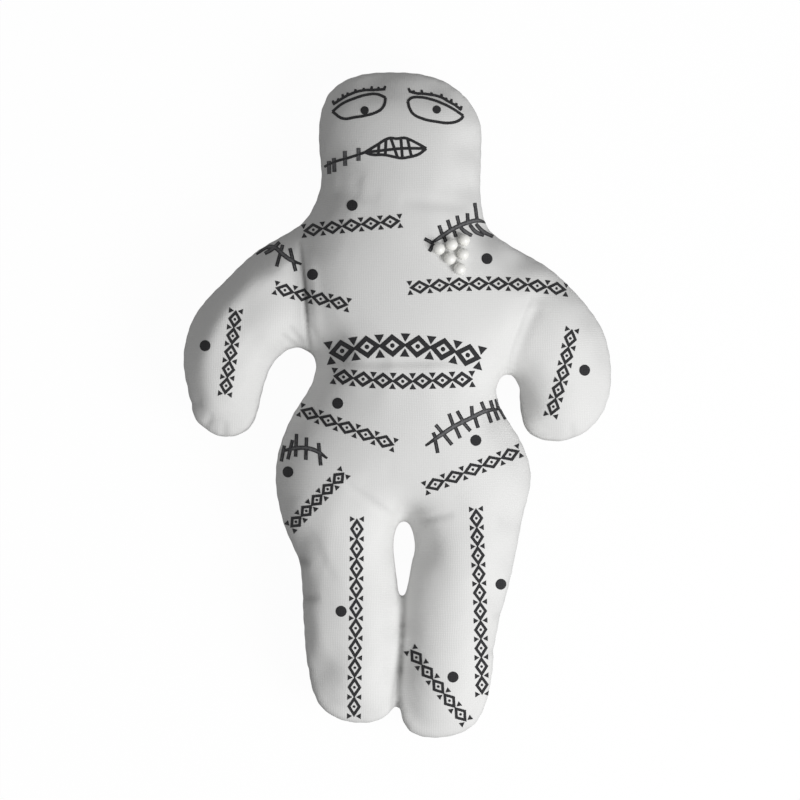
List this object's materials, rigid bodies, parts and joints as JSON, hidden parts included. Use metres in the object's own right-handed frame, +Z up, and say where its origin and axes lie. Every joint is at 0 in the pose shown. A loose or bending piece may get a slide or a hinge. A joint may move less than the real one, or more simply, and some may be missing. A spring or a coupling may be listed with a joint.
{
  "type": "voodoo doll",
  "caption": "Stuffed cloth voodoo doll lying on its back, with a printed face, stitched scars, target dots and ball-head pins stuck in its chest.",
  "frame": {"origin": "middle of the doll's outline seen from above, on the surface that it lies on", "axes": "+Z up, out of the doll's face; +Y towards the top of its head; +X towards its own left hand, on the viewer's right"},
  "size_m": [0.225, 0.35, 0.0742],
  "materials": {
    "cotton_cover": "woven cotton, matt, off-white",
    "fibre_fill": "loose white fibre",
    "black_ink": "matt screen print",
    "scar_ink": "matt screen print, grey",
    "pin_pearl": "pearly white moulded plastic",
    "pin_steel": "drawn bright steel wire"
  },
  "bodies": {
    "root": {"back_panel": "cotton_cover", "band_arm_left": "black_ink", "band_arm_right": "black_ink", "band_belly_left": "black_ink", "band_belly_right": "black_ink", "band_chest_left": "black_ink", "band_chest_right": "black_ink", "band_foot_right": "black_ink", "band_leg_left": "black_ink", "band_leg_right": "black_ink", "band_neck": "black_ink", "band_second": "black_ink", "band_thigh_left": "black_ink", "band_title": "black_ink", "dot_1": "black_ink", "dot_10": "black_ink", "dot_11": "black_ink", "dot_2": "black_ink", "dot_3": "black_ink", "dot_4": "black_ink", "dot_5": "black_ink", "dot_6": "black_ink", "dot_7": "black_ink", "dot_8": "black_ink", "dot_9": "black_ink", "eye_left": "black_ink", "eye_right": "black_ink", "front_panel": "cotton_cover", "lashes_left": "black_ink", "lashes_right": "black_ink", "mouth": "black_ink", "pin_head_1": "pin_pearl", "pin_head_2": "pin_pearl", "pin_head_3": "pin_pearl", "pin_head_4": "pin_pearl", "pin_head_5": "pin_pearl", "pin_head_6": "pin_pearl", "pin_shaft_1": "pin_steel", "pin_shaft_2": "pin_steel", "pin_shaft_3": "pin_steel", "pin_shaft_4": "pin_steel", "pin_shaft_5": "pin_steel", "pin_shaft_6": "pin_steel", "pupil_left": "black_ink", "pupil_right": "black_ink", "scar_cheek": "scar_ink", "scar_hip_left": "scar_ink", "scar_hip_right": "scar_ink", "scar_neck": "scar_ink", "scar_shoulder": "scar_ink", "stuffing": "fibre_fill"}
  },
  "joints": []
}
